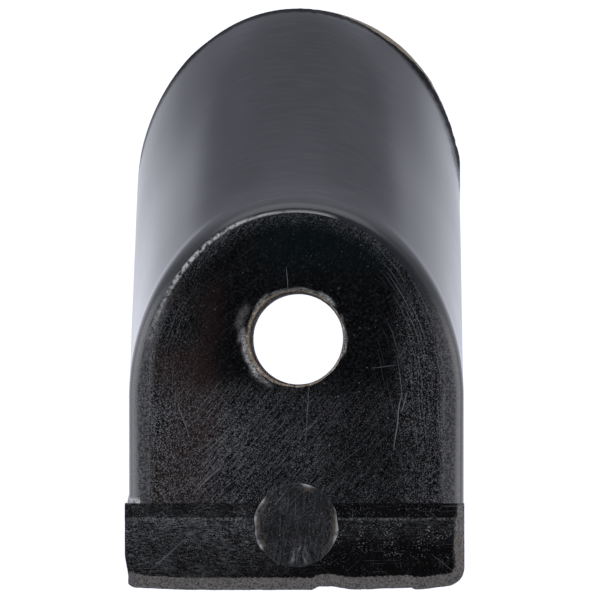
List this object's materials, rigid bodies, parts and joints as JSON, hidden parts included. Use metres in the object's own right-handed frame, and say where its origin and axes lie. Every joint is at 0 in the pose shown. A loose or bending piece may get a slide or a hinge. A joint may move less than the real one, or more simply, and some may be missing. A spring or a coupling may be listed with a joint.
{
  "type": "door wedge",
  "caption": "Arch-backed door wedge block with a lined screw hole, a pinned square foot bar and a thin base pad.",
  "frame": {"origin": "screw hole's axis where it meets the underside of the base pad", "axes": "+Z along the screw hole towards the worked face, +Y towards the thin arched end, +X across the block"},
  "size_m": [0.0258, 0.0452, 0.0254],
  "materials": {
    "body_plastic": "satin",
    "bar_plastic": "satin",
    "pin_plastic": "satin",
    "sleeve_fibre": "matte",
    "pad_fibre": "matte"
  },
  "bodies": {
    "root": {"wedge_body": "body_plastic", "foot_bar": "bar_plastic", "foot_pin": "pin_plastic", "bore_sleeve": "sleeve_fibre", "base_pad": "pad_fibre"}
  },
  "joints": []
}
